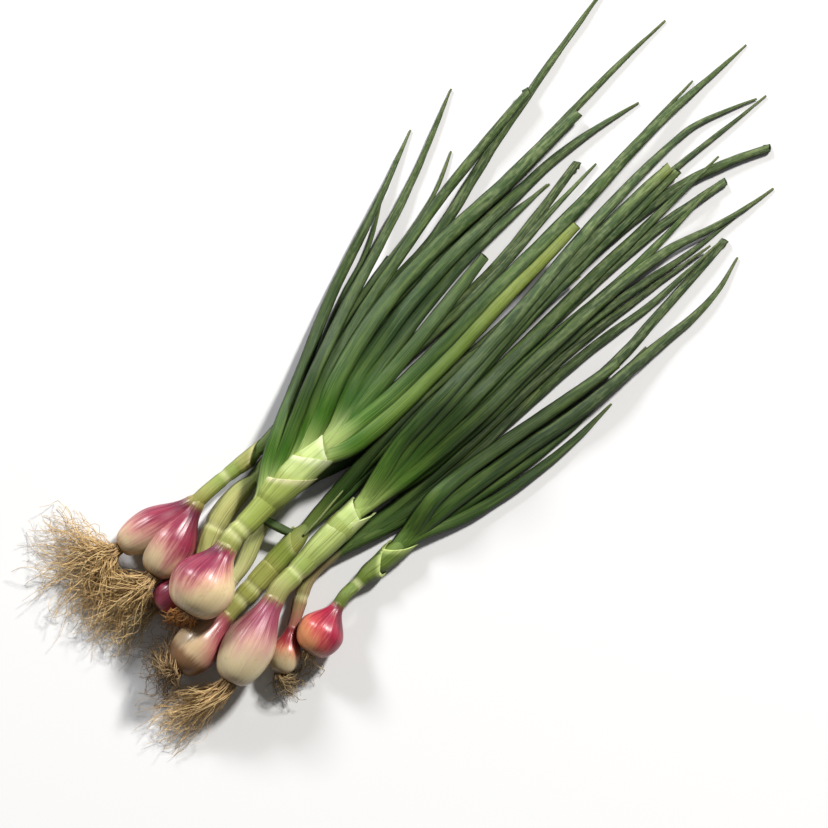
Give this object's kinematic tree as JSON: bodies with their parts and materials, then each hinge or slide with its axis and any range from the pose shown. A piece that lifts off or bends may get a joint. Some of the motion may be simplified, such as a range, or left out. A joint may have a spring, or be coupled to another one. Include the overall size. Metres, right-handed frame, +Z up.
{
  "type": "spring onion bunch",
  "caption": "Loose bunch of red-bulbed spring onions lying down, with rooted bulbs, pale necks and long hollow green leaves fanning out.",
  "frame": {"origin": "on the table, under the middle of the bunch's box", "axes": "+X along the bunch from the roots to the leaf tips, +Y across it towards the pair of bulbs on one neck, +Z up from the table"},
  "size_m": [0.4052, 0.1585, 0.0383],
  "materials": {
    "bulb_skin": "glossy thin skin, cream at the root end and magenta towards the neck",
    "red_skin": "glossy thin skin, dark red",
    "leaf": "hollow leaf, dark green with a grey waxy bloom, pale green at the neck",
    "root": "dry straw-coloured root fibres"
  },
  "bodies": {
    "root": {"twin_bulb": "bulb_skin", "twin_shoot": "leaf", "twin_roots": "root", "twin_roots_second": "root", "lower_bulb": "red_skin", "lower_shoot": "leaf", "lower_roots": "root", "slim_bulb": "bulb_skin", "slim_shoot": "leaf", "slim_roots": "root", "brown_bulb": "bulb_skin", "brown_shoot": "leaf", "brown_roots": "root", "small_bulb": "bulb_skin", "small_shoot": "leaf", "small_roots": "root", "red_bulb": "red_skin", "red_shoot": "leaf", "red_roots": "root", "front_bulb": "bulb_skin", "front_shoot": "leaf", "front_roots": "root", "big_bulb": "bulb_skin", "big_shoot": "leaf", "big_roots": "root"}
  },
  "joints": []
}
